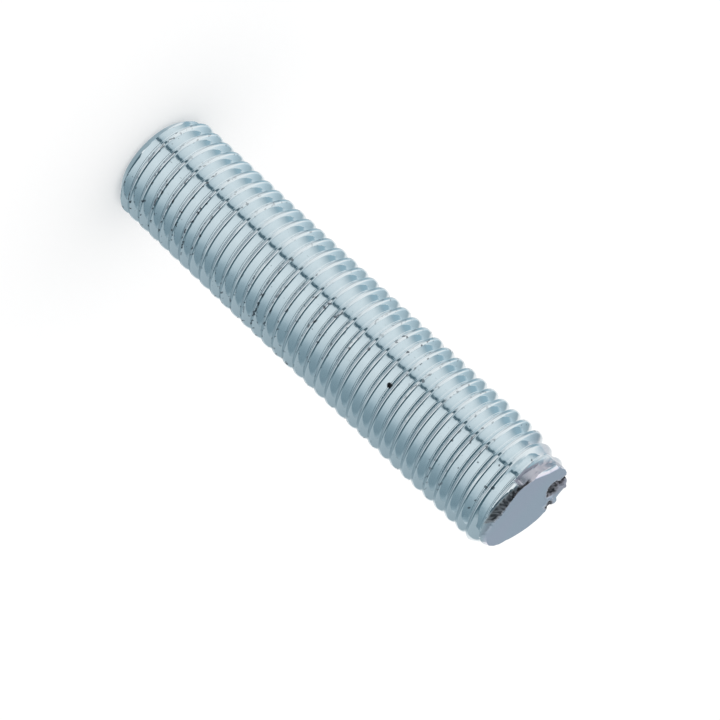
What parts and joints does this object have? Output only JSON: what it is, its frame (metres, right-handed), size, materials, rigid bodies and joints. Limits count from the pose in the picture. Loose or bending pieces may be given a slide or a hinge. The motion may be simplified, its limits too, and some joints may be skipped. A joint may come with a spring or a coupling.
{
  "type": "threaded rod",
  "caption": "Short fully threaded steel rod with a rolled right-hand metric thread, one end sawn square and chamfered, the other cropped in a shear.",
  "frame": {"origin": "centre of the sawn base end", "axes": "+Z along the rod's axis, from the sawn base end to the sheared end; -Y is the side that faces the camera in the picture"},
  "size_m": [0.0158, 0.0158, 0.07],
  "materials": {
    "zinc_plated_steel": "bright zinc plating with a pale blue passivation, small dark specks of rolling scale along the crests"
  },
  "bodies": {
    "root": {"threaded_rod": "zinc_plated_steel"}
  },
  "joints": []
}
